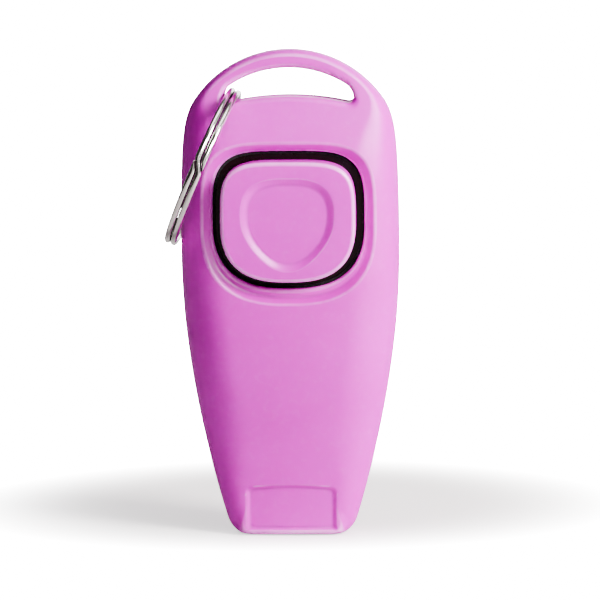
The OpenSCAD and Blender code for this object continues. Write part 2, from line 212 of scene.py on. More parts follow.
def rect2(x, z, x0, x1, z0, z1, r):
    cx, cz = (x0 + x1) / 2, (z0 + z1) / 2
    dx, dz = np.abs(x - cx) - (x1 - x0) / 2 + r, np.abs(z - cz) - (z1 - z0) / 2 + r
    return np.hypot(np.maximum(dx, 0), np.maximum(dz, 0)) + np.minimum(np.maximum(dx, dz), 0) - r


def rod(P, at, y0, y1, r):
    d = np.hypot(P[:, 0] - at[0], P[:, 2] - at[1]) - r
    return np.maximum(d, np.maximum(y0 - P[:, 1], P[:, 1] - y1))


def grad(fn, P, e):
    g = np.empty_like(P)
    for a in range(3):
        A, B = P.copy(), P.copy()
        A[:, a] += e
        B[:, a] -= e
        g[:, a] = (fn(A) - fn(B)) / (2 * e)
    return g


def field_mesh(name, fn, lo, hi, h, k=8, eps=0.03):
    """A closed quad mesh of the zero surface of fn, its vertices moved onto the surface and its normals taken from the field."""
    lo = np.array(lo, float) - 1.7 * h
    nb = np.ceil((np.array(hi, float) + 1.7 * h - lo) / (h * k)).astype(int)
    N = nb * k + 1
    bi = np.stack(np.meshgrid(*[np.arange(n) for n in nb], indexing="ij"), -1).reshape(-1, 3)
    fc = fn(lo + (bi + 0.5) * k * h).reshape(nb)
    live = np.abs(fc) < k * h * 0.87 + 0.8
    cell = live.repeat(k, 0).repeat(k, 1).repeat(k, 2)
    node = np.zeros(N, bool)
    for dx in (0, 1):
        for dy in (0, 1):
            for dz in (0, 1):
                node[dx:dx + cell.shape[0], dy:dy + cell.shape[1], dz:dz + cell.shape[2]] |= cell
    sg = np.pad(np.sign(fc).repeat(k, 0).repeat(k, 1).repeat(k, 2), ((0, 1),) * 3, mode="edge")
    vals = (sg * 9).astype(np.float32)
    pts = np.argwhere(node)
    out = np.empty(len(pts), np.float32)
    for i in range(0, len(pts), 400000):
        out[i:i + 400000] = fn(lo + pts[i:i + 400000] * h)
    vals[node] = out
    vals[vals == 0] = 1e-6
    C = N - 1
    stride = np.array([C[1] * C[2], C[2], 1])
    total = int(C.prod())
    cnt, acc, quads = np.zeros(total), [np.zeros(total) for _ in range(3)], []
    for ax in range(3):
        a, b = [slice(None)] * 3, [slice(None)] * 3
        a[ax], b[ax] = slice(0, -1), slice(1, None)
        va, vb = vals[tuple(a)], vals[tuple(b)]
        m = (va < 0) != (vb < 0)
        idx = np.argwhere(m)
        A, B = va[m].astype(float), vb[m].astype(float)
        p = idx.astype(float)
        p[:, ax] += A / (A - B)
        u, w = (ax + 1) % 3, (ax + 2) % 3
        cells = []
        for du, dw in ((0, 0), (-1, 0), (-1, -1), (0, -1)):
            c = idx.copy()
            c[:, u] += du
            c[:, w] += dw
            c = c @ stride
            cells.append(c)
            cnt += np.bincount(c, minlength=total)
            for d in range(3):
                acc[d] += np.bincount(c, weights=p[:, d], minlength=total)
        q = np.stack(cells, 1)
        q[A > 0] = q[A > 0][:, ::-1]
        quads.append(q)
    quads = np.concatenate(quads)
    used = np.flatnonzero(cnt)
    remap = np.zeros(total, np.int64)
    remap[used] = np.arange(len(used))
    V = np.stack([acc[d][used] / cnt[used] for d in range(3)], 1) * h + lo
    quads = remap[quads]
    for _ in range(3):
        v = fn(V)
        g = grad(fn, V, 0.01)
        g2 = np.maximum(np.square(g).sum(1), 0.05)
        step = (v / g2)[:, None] * g
        ln = np.linalg.norm(step, axis=1)
        step *= np.minimum(1, 0.35 * h / np.maximum(ln, 1e-9))[:, None]
        V = V - step
    n = grad(fn, V, eps)
    n /= np.maximum(np.linalg.norm(n, axis=1), 1e-9)[:, None]
    return build_mesh(name, V, quads, n)


def add_turn_for_painted_light(me, V, faces, normals):
    """Stores how sharply the surface turns at each vertex, in 1/mm: above zero on outside edges, below zero in inside
    corners. The materials read it to paint highlights on the edges and shade in the corners.
    """
    e = np.concatenate([faces[:, [i, (i + 1) % faces.shape[1]]] for i in range(faces.shape[1])])
    d = V[e[:, 1]] - V[e[:, 0]]
    k = ((normals[e[:, 1]] - normals[e[:, 0]]) * d).sum(1) / np.maximum(np.square(d).sum(1), 1e-4)
    total, num = np.zeros(len(V)), np.zeros(len(V))
    for side in (0, 1):
        total += np.bincount(e[:, side], weights=k, minlength=len(V))
        num += np.bincount(e[:, side], minlength=len(V))
    k = total / np.maximum(num, 1)
    for _ in range(2):
        avg = np.bincount(e[:, 0], weights=k[e[:, 1]], minlength=len(V)) + np.bincount(e[:, 1], weights=k[e[:, 0]], minlength=len(V))
        k = 0.4 * k + 0.6 * avg / np.maximum(num, 1)
    at = me.attributes.new("turn", "FLOAT", "POINT")
    at.data.foreach_set("value", np.clip(k, -4, 4).astype(np.float32))


def build_mesh(name, V, faces, normals=None, smooth=True):
    me = bpy.data.meshes.new(name)
    faces = np.asarray(faces)
    nf, k = faces.shape
    me.vertices.add(len(V))
    me.vertices.foreach_set("co", (np.asarray(V) * MM).astype(np.float32).ravel())
    me.loops.add(nf * k)
    me.loops.foreach_set("vertex_index", faces.astype(np.int32).ravel())
    me.polygons.add(nf)
    me.polygons.foreach_set("loop_start", np.arange(0, nf * k, k, dtype=np.int32))
    me.polygons.foreach_set("use_smooth", np.full(nf, smooth))
    me.update(calc_edges=True)
    if normals is not None:
        me.normals_split_custom_set_from_vertices(normals.astype(np.float32).tolist())
        add_turn_for_painted_light(me, np.asarray(V), faces, normals)
    ob = bpy.data.objects.new(name, me)
    bpy.context.scene.collection.objects.link(ob)
    return ob


# ---------------------------------------------------------------- shells
SHELL_SCREWS = [(-13.2, 64), (13.2, 64), (-11, 33), (11, 33)]
FRAME_SCREWS = [(sx * 7.5, BUT_Z + sz * 14.6) for sz in (1, -1) for sx in (-1, 1)]
LIP_TOP = 8.5


def lip_zone(x, z):
    """The shallow recess for the lips, in x and z, its upper edge slightly arched."""
    top = LIP_TOP - 0.009 * np.square(x)
    d = smax((np.abs(x) - 7.3) * 0.75, z - top, 0.8)
    return smax(d, 1.05 - z, 0.4)


def pocket(P, side, skin):
    """Walls that locate the whistle block."""
    x, y, z = P[:, 0], P[:, 1] * side, P[:, 2]
    ribs = np.maximum(np.abs(np.abs(x) - 6.65) - 0.5, np.maximum(1.2 - z, z - 27.2))
    back = np.maximum(np.maximum(np.abs(x) - 6.8, np.abs(z - 26.6) - 0.4), 0.05 - y)
    return np.maximum(np.minimum(ribs, back), np.maximum(skin + 0.8, 0.06 - y))


def block_room(P):
    """Clearance for the whistle block in both halves."""
    x, y, z = P[:, 0], P[:, 1], P[:, 2]
    low = np.maximum(np.maximum(-2.08 - y, y - 1.83), np.maximum(2.52 - z, z - 11.4))
    high = np.maximum(np.maximum(-2.73 - y, y - 2.38), np.maximum(10.92 - z, z - 26.1))
    return np.maximum(np.abs(x) - 6.08, np.minimum(low, high))


def front_field(P):
    x, y, z = P[:, 0], P[:, 1], P[:, 2]
    skin = unit(lambda Q: pillow(Q, -1), P)
    f = smax(skin, y, 0.28)
    # lip recess: a soft step down in the skin
    f = f + 0.32 * (1 - s01(-0.5, 0.25, lip_zone(x, z))) * s01(3.0, 1.0, np.abs(skin))
    cav = unit(lambda Q: pillow(Q, -1, WALL), P)
    cav = smax(smax(cav, z - CAV_TOP, 0.6), -CEIL - y, 0.4)
    f = np.maximum(f, -cav)
    f = np.maximum(f, -block_room(P))
    # room for the carrier's flange and the gasket
    room = unit2(lambda a, b: sq_s(a, b - BUT_Z, OPEN_A + 1.2, OPEN_B + 1.2) - 1, x, z)
    f = np.maximum(f, -np.maximum(room, np.maximum(-CEIL - y, y + 0.5)))
    hole = unit2(lambda a, b: sq_s(a, b - BUT_Z, OPEN_A, OPEN_B) - 1, x, z)
    f = smax(f, -hole, 0.9)
    slot = slot2(x, z)
    f = smax(f, -slot, 1.2)
    f = smax(f, -z, 0.5)
    for p in SHELL_SCREWS:
        f = smin(f, np.maximum(rod(P, p, -4.9, -0.0, 2.1), skin + 0.7), 0.25)
    for p in FRAME_SCREWS:
        f = smin(f, np.maximum(rod(P, p, -5.3, cf_lo[1], 1.6), skin + 0.5), 0.25)
    f = np.minimum(f, pocket(P, -1, skin))
    e = edge_d(x, z)
    lip = np.maximum(np.maximum(WALL - 0.85 - e, e - (WALL - 0.1)), np.maximum(np.maximum(-0.4 - y, y - 0.7), 4 - z))
    lip = np.maximum(lip, z - CAV_TOP - 0.85)
    f = np.minimum(f, lip)
    for p in SHELL_SCREWS:
        f = np.maximum(f, -rod(P, p, -4.4, 1, 1.2))
    for p in FRAME_SCREWS:
        f = np.maximum(f, -rod(P, p, -4.6, -1, 0.85))
    return f


def back_field(P):
    x, y, z = P[:, 0], P[:, 1], P[:, 2]
    skin = unit(lambda Q: pillow(Q, 1), P)
    skin = smax(skin, y - BACK, 0.9)
    f = smax(skin, -y, 0.28)
    cav = unit(lambda Q: pillow(Q, 1, WALL), P)
    cav = smax(smax(cav, z - CAV_TOP, 0.6), y - (BACK - WALL), 0.4)
    f = np.maximum(f, -cav)
    f = smax(f, -(slot2(x, z) - 0.5 * s01(2.2, 3.2, y)), 1.2)
    f = smax(f, -z, 0.5)
    for p in SHELL_SCREWS:
        f = smin(f, np.maximum(rod(P, p, 0.0, 4.5, 2.4), skin + 0.5), 0.25)
    f = np.minimum(f, pocket(P, 1, skin))
    seat = np.maximum(np.maximum(np.abs(x) - 6.3, np.abs(z - 18.05) - 8.25), np.maximum(ws_hi[1] + 0.02 - y, y - 4.2))
    f = np.minimum(f, seat)
    e = edge_d(x, z)
    rebate = np.maximum(np.maximum(WALL - 0.93 - e, e - (WALL + 0.35)), np.maximum(y - 0.8, 3.9 - z))
    rebate = np.maximum(rebate, z - CAV_TOP - 0.93)
    f = np.maximum(f, -rebate)
    f = np.maximum(f, -block_room(P))
    f = np.maximum(f, -np.maximum(np.maximum(np.abs(x) - 6.08, np.maximum(-1 - y, y - 2.8)), np.maximum(9.8 - z, z - 26.1)))
    for p in SHELL_SCREWS:
        f = np.maximum(f, -rod(P, p, -1, 8, 1.35))
        f = smax(f, -rod(P, p, 3.6, 9, 2.1), 0.5)
    mouth = np.maximum(rect2(x, y, -4.7, 4.7, 0.15, 1.55, 0.3), z - 2.75)
    f = smax(f, -mouth, 0.35)
    win = np.maximum(np.abs(x) - 4.8, 10.9 - z)
    win = smax(win, 1.9 - y, 0.1)
    slope = (z - 19.4) * 0.397 - (y - 2.75) * 0.918 * 0.62
    slope = ((z - 19.4) - (y - 2.75) * (33.86 - 19.4) / (9 - 2.75)) * 0.397
    win = smax(win, np.maximum(slope, np.where(y < 2.75, z - 19.4, -9.0)), 0.4)
    f = smax(f, -win, 0.6)
    return f


# ---------------------------------------------------------------- button cap
def thumb_s(x, z):
    """Measure of the thumb dimple's outline, 1 on the line: wide and straight at the top, narrowing to a round foot."""
    t = z / 7.6
    w = 7.35 - 2.3 * np.square(s01(0.6, -1.25, t))
    up = np.power(np.abs(x) / w, 2.9) + np.power(np.abs(z) / 6.75, 2.9)
    dn = np.power(np.abs(x) / w, 2.2) + np.power(np.abs(z) / 7.7, 2.2)
    return np.where(z >= 0, np.power(up + 1e-12, 1 / 2.9), np.power(dn + 1e-12, 1 / 2.2))


def cap_field(P):
    x, y, z = P[:, 0], P[:, 1], P[:, 2]
    zz = z - BUT_Z
    side = unit2(lambda a, b: sq_s(a, b, BUT_A, BUT_B) - 1, x, zz)
    s = sq_s(x, zz, BUT_A, BUT_B)
    edge = (thumb_s(x, zz - 0.1) - 1) * 7.0
    dip = 0.45 * (1 - s01(-1.0, 0.5, edge))
    top = -(y + FACE - 0.2 * np.square(np.minimum(s, 1.2)) - dip) * 0.95
    f = smax(side, top, 0.75)
    f = smax(f, y - bc_hi[1], 0.3)
    inner = unit2(lambda a, b: sq_s(a, b, BUT_A - 1.5, BUT_B - 1.5) - 1, x, zz)
    f = smax(f, -np.maximum(inner, ca_lo[1] - 0.05 - y), 0.2)
    return f


# ---------------------------------------------------------------- swept shapes
def sweep(name, centre, frame_n, frame_b, section, thin=None):
    """A section (pairs along n and b) carried along a centre line; thin scales it along b at each station."""
    n, m = len(centre), len(section)
    sb = section[None, :, 1:2] * (1.0 if thin is None else thin[:, None, None])
    V = (centre[:, None, :] + frame_n[:, None, :] * section[None, :, 0:1] + frame_b[:, None, :] * sb).reshape(-1, 3)
    i, j = np.meshgrid(np.arange(n - 1), np.arange(m), indexing="ij")
    a, b = i * m + j, i * m + (j + 1) % m
    F = np.stack([a, b, b + m, a + m], -1).reshape(-1, 4)
    # caps: rings drawn in to a middle point, as quads
    rows = [V]
    faces = [F]
    base = len(V)
    for end, flip in ((0, True), (n - 1, False)):
        ring = np.arange(m) + end * m
        c = V[ring].mean(0)
        inner = c + (V[ring] - c) * 0.55
        rows.append(inner)
        ir = np.arange(m) + base
        base += m
        q = np.stack([ring, np.roll(ring, -1), np.roll(ir, -1), ir], 1)
        half = np.arange(m // 2 - 1)
        lid = np.stack([ir[half], ir[half + 1], ir[m - 2 - half], ir[m - 1 - half]], 1)
        if flip:
            q, lid = q[:, ::-1], lid[:, ::-1]
        faces += [q, lid]
    V, F = np.concatenate(rows), np.concatenate(faces)
    return build_mesh(name, V, F)


def split_ring():
    eye = mount["split_ring_eye"]
    pivot = mm(joint["ring_swing"]["pos_m"])
    centre = mm(eye["pos_m"])
    nrm = np.array(eye["axis"], float)
    nrm /= np.linalg.norm(nrm)
    up = pivot - centre
    r = np.linalg.norm(up)
    up = up / r
    side = np.cross(up, nrm)
    side *= -np.sign(side[1]) / np.linalg.norm(side)
    t_w, b_w = 1.05, 1.2
    joggle, front = 6.5, 84.0
    t = np.unique(np.concatenate([np.linspace(-2.4, 722.4, 560), np.linspace(-2.4, 8, 24), np.linspace(351, 369, 60), np.linspace(712, 722.4, 24)]))
    a = np.radians(front + t)
    pitch = t_w + 0.03
    lay = (s01(360 - joggle, 360 + joggle, t) - 0.5) * pitch
    # each free end is ground to a wedge that lies along the crossing wire
    start = (s01(-joggle, joggle, t) - 0.5) * pitch + (pitch / 2 - 0.02)
    finish = -(s01(720 - joggle, 720 + joggle, t) - 0.5) * pitch + (pitch / 2 - 0.02)
    th = np.clip(np.where(t < 180, start, np.where(t > 540, finish, t_w)), 0.12, t_w)
    half = pitch / 2 + t_w / 2
    lay = np.where(t < 180, th / 2 - half, np.where(t > 540, half - th / 2, lay))
    rad = np.cos(a)[:, None] * up + np.sin(a)[:, None] * side
    line = centre + rad * r + nrm * lay[:, None]
    q = np.linspace(0, 2 * math.pi, 24, endpoint=False) + 0.13
    c, s = np.cos(q), np.sin(q)
    sec = np.stack([np.sign(c) * np.abs(c) ** 0.95 * b_w / 2, np.sign(s) * np.abs(s) ** 0.85 * (t_w / 2)], 1)
    return sweep("split_ring_vis", line, rad, np.repeat(nrm[None], len(t), 0), sec, th / t_w)


def spring(name, node):
    lo, hi = node_box(node)
    cx, cz = (lo[0] + hi[0]) / 2, (lo[2] + hi[2]) / 2
    wire = 0.4
    r = (hi[0] - lo[0]) / 2 - wire / 2
    length = hi[1] - lo[1]
    turns, per = 3.5, 48
    n = int((turns + 2) * per)
    k = np.arange(n + 1) / per
    y = np.where(k < 1, wire / 2 + 0.06 * k, np.where(k > turns + 1, length - wire / 2 - 0.06 * (turns + 2 - k),
                 wire / 2 + 0.06 + (length - wire - 0.12) * (k - 1) / turns))
    ang = 2 * math.pi * k
    rad = np.stack([np.cos(ang), 0 * ang, np.sin(ang)], 1)
    line = np.array([cx, lo[1], cz]) + rad * r + np.stack([0 * y, y, 0 * y], 1)
    q = np.linspace(0, 2 * math.pi, 12, endpoint=False)
    sec = np.stack([np.cos(q) * wire / 2, np.sin(q) * wire / 2], 1)
    ax = np.repeat(np.array([[0.0, 1.0, 0.0]]), n + 1, 0)
    return sweep(name, line, rad, ax, sec[::-1])


def blade():
    """Spring-steel strip with a pressed dimple and two holes left plain under the clamp, as a dense sheet."""
    w = (bl_hi[0] - bl_lo[0]) / 2
    z0, z1 = bl_lo[2], bl_hi[2]
    y0, th = -0.3 + (cf_hi[1] * 0), 0.3
    root = joint["blade_flex"]["pos_m"][2] / MM
    nz, nx = 88, 40
    zs = np.linspace(z0, z1, nz)
    us = np.linspace(-1, 1, nx)
    tip = np.clip((zs - (z1 - 1.6)) / 1.6, 0, 1)
    half = np.where(zs < root, w, w - 0.7 * (zs - root) / (z1 - root)) - 1.2 * tip ** 3
    X = us[None] * half[:, None]
    Z = np.repeat(zs[:, None], nx, 1)
    bump = 0.35 * (1 - s01(0.35, 2.6, np.hypot(X, Z - 47.6)))
    # the strip is set with a slight bow away from the plunger
    bump = bump + 0.18 * s01(45.0, 51.4, Z)
    yb = bl_lo[1] if bl_lo[1] > -1 else -0.3
    front = np.stack([X, yb + bump, Z], -1).reshape(-1, 3)
    back = np.stack([X, yb + th + bump, Z], -1).reshape(-1, 3)
    V = np.concatenate([front, back])
    i, j = np.meshgrid(np.arange(nz - 1), np.arange(nx - 1), indexing="ij")
    a = (i * nx + j).ravel()
    F = [np.stack([a, a + 1, a + nx + 1, a + nx], 1)]
    o = nz * nx
    F.append(np.stack([a + o, a + nx + o, a + nx + 1 + o, a + 1 + o], 1))
    k = np.arange(nx - 1)
    F.append(np.stack([k, k + o, k + 1 + o, k + 1], 1))
    e = (nz - 1) * nx + k
    F.append(np.stack([e, e + 1, e + 1 + o, e + o], 1))
    k = np.arange(nz - 1) * nx
    F.append(np.stack([k, k + nx, k + nx + o, k + o], 1))
    k = k + nx - 1
    F.append(np.stack([k, k + o, k + nx + o, k + nx], 1))
    ob = build_mesh("click_blade_vis", V, np.concatenate(F))
    return ob


# ---------------------------------------------------------------- materials
class Tree:
    def __init__(self, name):
        self.m = bpy.data.materials.new(name)
        self.m.use_nodes = True
        self.t = self.m.node_tree
        self.b = self.t.nodes["Principled BSDF"]
        self.co = self.node("ShaderNodeTexCoord").outputs["Object"]

    def node(self, kind, **inputs):
        n = self.t.nodes.new(kind)
        for k, v in inputs.items():
            if k in n.inputs:
                self.put(n.inputs[k], v)
        return n

    def put(self, sock, v):
        if isinstance(v, bpy.types.NodeSocket):
            self.t.links.new(v, sock)
        else:
            sock.default_value = v

    def noise(self, scale, detail=3.0, rough=0.5, stretch=None, distort=0.0):
        n = self.node("ShaderNodeTexNoise")
        co = self.co
        if stretch:
            mp = self.node("ShaderNodeMapping")
            self.put(mp.inputs["Vector"], co)
            mp.inputs["Scale"].default_value = stretch
            co = mp.outputs["Vector"]
        self.put(n.inputs["Vector"], co)
        n.inputs["Scale"].default_value = scale
        n.inputs["Detail"].default_value = detail
        n.inputs["Roughness"].default_value = rough
        n.inputs["Distortion"].default_value = distort
        return n.outputs["Fac"]

    def ramp(self, fac, a, b, lo=0.0, hi=1.0):
        n = self.node("ShaderNodeMapRange")
        self.put(n.inputs["Value"], fac)
        n.inputs["From Min"].default_value = lo
        n.inputs["From Max"].default_value = hi
        n.inputs["To Min"].default_value = a
        n.inputs["To Max"].default_value = b
        n.clamp = True
        return n.outputs["Result"]

    def math(self, op, a, b=0.0):
        n = self.node("ShaderNodeMath")
        n.operation = op
        self.put(n.inputs[0], a)
        self.put(n.inputs[1], b)
        return n.outputs[0]

    def mix(self, fac, a, b):
        n = self.node("ShaderNodeMix")
        n.data_type = "RGBA"
        self.put(n.inputs["Factor"], fac)
        self.put(n.inputs["A"] if False else n.inputs[6], a)
        self.put(n.inputs[7], b)
        return n.outputs[2]

    def turn(self, lo, hi):
        a = self.node("ShaderNodeAttribute")
        a.attribute_name = "turn"
        return self.ramp(a.outputs["Fac"], 0.0, 1.0, lo, hi)

    def edge(self, lo=0.52, hi=0.62):
        g = self.node("ShaderNodeNewGeometry")
        return self.ramp(g.outputs["Pointiness"], 0.0, 1.0, lo, hi)

    def bump(self, height, dist, strength=1.0, normal=None):
        n = self.node("ShaderNodeBump")
        self.put(n.inputs["Height"], height)
        n.inputs["Distance"].default_value = dist
        n.inputs["Strength"].default_value = strength
        if normal is not None:
            self.put(n.inputs["Normal"], normal)
        return n.outputs["Normal"]

    def soft_edges(self, radius, samples=6):
        n = self.node("ShaderNodeBevel")
        n.samples = samples
        n.inputs["Radius"].default_value = radius
        return n.outputs["Normal"]


def rgba(c):
    return (c[0], c[1], c[2], 1.0)


def plastic(name, color, deep, light, rough=0.36, grain=1.0, sss=0.12, bevel=0.0, coat=0.0, scale=1.0, spec=0.5, field=False):
    """Moulded plastic: slow tone drift, a fine spark-eroded grain, faint handling marks, and a painted highlight that
    pales the convex edges; field meshes also get painted shade in inside corners and along the parting line.
    """
    T = Tree(name)
    b = T.b
    drift = T.noise(34.0 * scale, 3.0, 0.55)
    base = T.mix(T.ramp(drift, 0.0, 1.0, 0.38, 0.64), rgba(deep), rgba(color))
    speck = T.noise(900.0 * scale, 2.0, 0.6)
    base = T.mix(T.ramp(speck, 0.0, 0.05, 0.5, 0.8), base, rgba(light))
    if field:
        # painted highlight: convex edges (turn above zero) are paled towards the light colour, mottled by a noise
        highlight_mottle = T.ramp(T.noise(150.0 * scale, 4.0, 0.6), 0.55, 0.95, 0.35, 0.65)
        edge_highlight = T.math("MULTIPLY", T.turn(0.25, 0.8), highlight_mottle)
        # painted shade: inside corners (turn below zero) are darkened towards a darker copy of the deep colour
        base = T.mix(T.math("MULTIPLY", T.turn(-0.12, -0.6), 0.55), base, rgba([c * 0.55 for c in deep]))
        # painted shade: a thin dark line along the parting plane at y = 0, where the two shells meet; the edge
        # highlight is kept off it
        split = T.node("ShaderNodeSeparateXYZ")
        T.put(split.inputs[0], T.co)
        seam_shade = T.ramp(T.math("ABSOLUTE", split.outputs[1]), 1.0, 0.0, 0.00012, 0.00032)
        edge_highlight = T.math("MULTIPLY", edge_highlight, T.math("SUBTRACT", 1.0, seam_shade))
        base = T.mix(T.math("MULTIPLY", seam_shade, 0.75), base, rgba([c * 0.3 for c in deep]))
    else:
        # painted highlight: pointy convex edges are paled towards the light colour, mottled by a noise
        edge_highlight = T.math("MULTIPLY", T.edge(0.515, 0.60), T.ramp(T.noise(150.0 * scale, 4.0, 0.6), 0.1, 0.6, 0.35, 0.7))
    base = T.mix(edge_highlight, base, rgba(light))
    T.put(b.inputs["Base Color"], base)
    wipe = T.noise(60.0 * scale, 5.0, 0.62, stretch=(1.0, 1.0, 0.35), distort=0.6)
    r = T.ramp(wipe, rough - 0.05, rough + 0.07, 0.3, 0.7)
    fine = T.noise(2600.0 * scale, 2.0, 0.5)
    r = T.math("ADD", r, T.ramp(fine, -0.03, 0.03, 0.3, 0.7))
    T.put(b.inputs["Roughness"], r)
    b.inputs["Specular IOR Level"].default_value = spec
    b.inputs["IOR"].default_value = 1.49
    if sss:
        b.inputs["Subsurface Weight"].default_value = sss
        b.inputs["Subsurface Radius"].default_value = (1.0, 0.35, 0.7)
        b.inputs["Subsurface Scale"].default_value = 0.0012
    if coat:
        b.inputs["Coat Weight"].default_value = coat
        b.inputs["Coat Roughness"].default_value = 0.12
    nrm = T.soft_edges(bevel) if bevel else None
    grain_n = T.bump(T.noise(3000.0 * scale, 2.0, 0.6), 0.00001 * grain, 0.55, nrm)
    peel = T.bump(T.noise(420.0 * scale, 2.0, 0.5), 0.000012 * grain, 0.5, grain_n)
    T.put(b.inputs["Normal"], peel)
    return T.m


def metal(name, color, dark, rough=0.16, brush=None, bevel=0.0, grain=1.0, tarnish=0.25, groove_shade_dist=0.0):
    """Plated or bright steel: drawing lines along one direction, roughness patches, and recesses and grooves darkened
    as painted shade.
    """
    T = Tree(name)
    b = T.b
    b.inputs["Metallic"].default_value = 1.0
    patch = T.noise(170.0, 5.0, 0.6)
    base = T.mix(T.ramp(patch, 0.0, tarnish, 0.45, 0.75), rgba(color), rgba(dark))
    g = T.node("ShaderNodeNewGeometry")
    # painted shade: low pointiness (hollows) darkens the colour
    low = T.ramp(g.outputs["Pointiness"], 0.75, 0.0, 0.40, 0.50)
    base = T.mix(low, base, rgba([c * 0.45 for c in dark]))
    if groove_shade_dist:
        # painted shade: ambient occlusion within this distance darkens the grooves to near black
        ao = T.node("ShaderNodeAmbientOcclusion")
        ao.samples = 8
        ao.inputs["Distance"].default_value = groove_shade_dist
        base = T.mix(T.ramp(ao.outputs["AO"], 0.92, 0.0, 0.30, 0.85), base, (0.012, 0.010, 0.009, 1.0))
    T.put(b.inputs["Base Color"], base)
    r = T.ramp(T.noise(260.0, 4.0, 0.65), rough - 0.05, rough + 0.12, 0.3, 0.75)
    T.put(b.inputs["Roughness"], r)
    nrm = T.soft_edges(bevel) if bevel else None
    lines = T.noise(500.0, 3.0, 0.6, stretch=brush or (1.0, 1.0, 1.0))
    n1 = T.bump(lines, 0.000012 * grain, 0.5, nrm)
    T.put(b.inputs["Normal"], n1)
    return T.m


def foam(name):
    T = Tree(name)
    b = T.b
    v = T.node("ShaderNodeTexVoronoi")
    T.put(v.inputs["Vector"], T.co)
    v.inputs["Scale"].default_value = 2600.0
    cell = v.outputs["Distance"]
    base = T.mix(T.ramp(cell, 0.0, 1.0, 0.1, 0.7), rgba((0.004, 0.004, 0.0045)), rgba((0.02, 0.019, 0.021)))
    T.put(b.inputs["Base Color"], base)
    T.put(b.inputs["Roughness"], T.ramp(T.noise(400.0), 0.7, 0.95, 0.3, 0.7))
    T.put(b.inputs["Normal"], T.bump(cell, 0.00008, 0.8, T.soft_edges(0.00008)))
    return T.m


PINK = (0.77, 0.070, 0.655)
PINK_DEEP = (0.73, 0.057, 0.605)
# PINK_LIGHT and PINK_EDGE colour the fine specks and the painted highlight on convex edges
PINK_LIGHT = (0.86, 0.22, 0.78)
PINK_EDGE = (0.92, 0.36, 0.84)
m_shell = plastic("shell_pink", PINK, PINK_DEEP, PINK_EDGE, rough=0.40, field=True)
m_button = plastic("button_pink", PINK, PINK_DEEP, PINK_EDGE, rough=0.36, scale=1.1, field=True)
m_inner = plastic("whistle_pink", PINK, PINK_DEEP, PINK_LIGHT, rough=0.42, bevel=0.00012, scale=1.2)
m_black = plastic("mechanism_black", (0.010, 0.009, 0.011), (0.006, 0.006, 0.007), (0.05, 0.048, 0.052), rough=0.3, sss=0.0, bevel=0.00012, grain=1.6)
# painted reflection: the glossy black flange is tinted dark crimson to stand in for the pink walls mirrored in the gap
# round the button
m_flange = plastic("flange_black_painted_reflection", (0.022, 0.0012, 0.006), (0.010, 0.0008, 0.003), (0.05, 0.004, 0.012), rough=0.22, sss=0.0, bevel=0.0001, grain=0.5, spec=0.35)
m_nylon = plastic("plunger_nylon", (0.80, 0.78, 0.70), (0.74, 0.72, 0.63), (0.9, 0.89, 0.84), rough=0.38, bevel=0.0001)
m_foam = foam("gasket_foam")
m_ring = metal("ring_nickel", (0.86, 0.84, 0.81), (0.52, 0.47, 0.40), rough=0.08, brush=(1.0, 0.25, 1.0), tarnish=0.3, grain=0.4, groove_shade_dist=0.0007)
m_spring = metal("spring_steel", (0.66, 0.67, 0.69), (0.42, 0.42, 0.44), rough=0.2, brush=(1.0, 1.0, 6.0))
m_blade = metal("blade_steel", (0.62, 0.64, 0.67), (0.40, 0.41, 0.44), rough=0.22, brush=(8.0, 1.0, 0.6))
m_screw = metal("screw_steel", (0.74, 0.75, 0.77), (0.48, 0.47, 0.46), rough=0.24, brush=(1.0, 5.0, 1.0), bevel=0.00008)

# ---------------------------------------------------------------- pieces
H = 0.25
front = field_mesh("front_shell_vis", front_field, fs_lo - 0.2, [fs_hi[0] + 0.2, 0.9, fs_hi[2] + 0.2], H)
back = field_mesh("back_shell_vis", back_field, [bs_lo[0] - 0.2, -0.2, -0.2], bs_hi + 0.2, H)
cap = field_mesh("button_cap_vis", cap_field, bc_lo - 0.2, bc_hi + 0.2, H * 0.6)
ring = split_ring()
spr_l = spring("return_spring_left_vis", "return_spring_left")
spr_r = spring("return_spring_right_vis", "return_spring_right")
strip = blade()

for ob, mat, body, node, slot in (
    (front, m_shell, "housing", "front_shell", "shell_pink"),
    (back, m_shell, "housing", "back_shell", "shell_pink"),
    (cap, m_button, "button", "button_cap", "button_pink"),
    (ring, m_ring, "ring", "split_ring", "ring_nickel"),
    (spr_l, m_spring, "housing", "return_spring_left", "spring_steel"),
    (spr_r, m_spring, "housing", "return_spring_right", "spring_steel"),
):
    ob.data.materials.append(mat)
    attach(ob, body)
    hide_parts(node)

strip.data.materials.append(m_blade)
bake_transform(strip)
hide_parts("click_blade")

stop_y = cf_lo[1] * MM
for s in (spr_l, spr_r):
    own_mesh(s)

carried = {
    "shell_screws": m_screw, "frame_screws": m_screw, "blade_screws": m_screw, "blade_clamp": m_screw,
    "button_carrier": m_flange, "button_gasket": m_foam, "whistle_seal": m_foam, "plunger_pin": m_nylon,
    "click_frame": m_black, "click_cover": m_black, "whistle_block": m_inner,
}
for n, mat in carried.items():
    me = nodes[n].data
    me.materials.clear()
    me.materials.append(mat)

# ---------------------------------------------------------------- floor, light, camera
S = bpy.context.scene
S.view_settings.view_transform = "AgX"
S.view_settings.look = "AgX - High Contrast"
S.view_settings.exposure = -0.42
WHITE = 20.0
S.view_settings.gamma = 1.0


